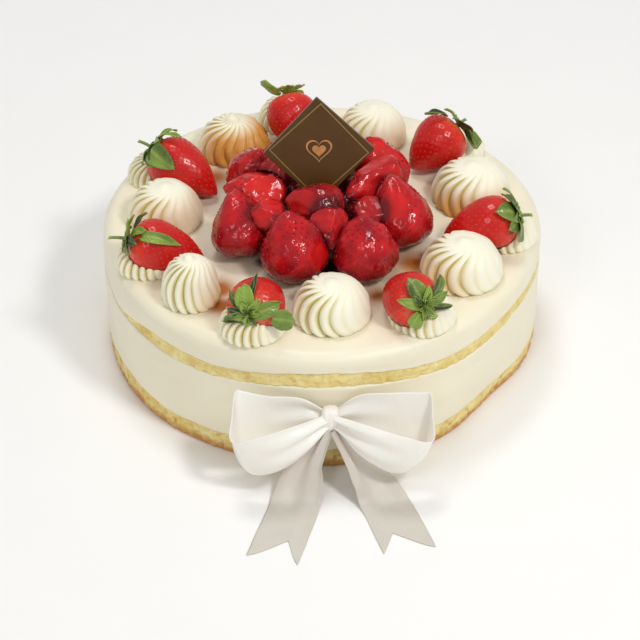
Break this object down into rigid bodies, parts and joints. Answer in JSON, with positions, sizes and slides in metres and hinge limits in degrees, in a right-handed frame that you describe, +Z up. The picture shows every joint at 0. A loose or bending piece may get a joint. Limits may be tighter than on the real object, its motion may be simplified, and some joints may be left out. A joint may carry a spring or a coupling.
{
  "type": "strawberry shortcake",
  "caption": "Round layer cake of sponge and cream with piped rosettes, whole and glazed strawberries, a chocolate plaque and a satin ribbon bow at the front.",
  "frame": {"origin": "middle of the cake's base, on the surface it stands on", "axes": "+Z up, -Y to the front where the bow is, +X to the right seen from the front"},
  "size_m": [0.196, 0.2572, 0.122],
  "materials": {
    "sponge": "open golden crumb, matte",
    "icing": "smooth whipped cream, soft sheen",
    "piped_cream": "ridged whipped cream, soft sheen",
    "berry": "ripe red skin with seeds, glossy",
    "glazed_berry": "deep red under a wet clear glaze",
    "leaf": "thin green leaf, matte",
    "chocolate": "dark chocolate, satin",
    "ribbon": "white satin"
  },
  "bodies": {
    "root": {"bottom_sponge": "sponge", "lower_cream": "icing", "middle_sponge": "sponge", "top_cream": "icing", "rosette_1": "piped_cream", "rosette_2": "piped_cream", "rosette_3": "piped_cream", "rosette_4": "piped_cream", "rosette_5": "piped_cream", "rosette_6": "piped_cream", "rosette_7": "piped_cream", "pressed_rosette_1": "piped_cream", "pressed_rosette_2": "piped_cream", "pressed_rosette_3": "piped_cream", "pressed_rosette_4": "piped_cream", "pressed_rosette_5": "piped_cream", "pressed_rosette_6": "piped_cream", "pressed_rosette_7": "piped_cream", "berry_1": "berry", "berry_2": "berry", "berry_3": "berry", "berry_4": "berry", "berry_5": "berry", "berry_6": "berry", "berry_7": "berry", "calyx_1": "leaf", "calyx_2": "leaf", "calyx_3": "leaf", "calyx_4": "leaf", "calyx_5": "leaf", "calyx_6": "leaf", "calyx_7": "leaf", "heap_berry_1": "glazed_berry", "heap_berry_2": "glazed_berry", "heap_berry_3": "glazed_berry", "heap_berry_4": "glazed_berry", "heap_berry_5": "glazed_berry", "heap_berry_6": "glazed_berry", "heap_berry_7": "glazed_berry", "heap_berry_8": "glazed_berry", "heap_berry_9": "glazed_berry", "heap_berry_10": "glazed_berry", "heap_berry_11": "glazed_berry", "heap_berry_12": "glazed_berry", "heap_berry_13": "glazed_berry", "heap_berry_14": "glazed_berry", "heap_berry_15": "glazed_berry", "heap_berry_16": "glazed_berry", "heap_berry_17": "glazed_berry", "heap_berry_18": "glazed_berry", "heap_berry_19": "glazed_berry", "plaque": "chocolate", "bow_knot": "ribbon", "bow_loop_left": "ribbon", "bow_loop_right": "ribbon", "bow_tail_left": "ribbon", "bow_tail_right": "ribbon"}
  },
  "joints": []
}
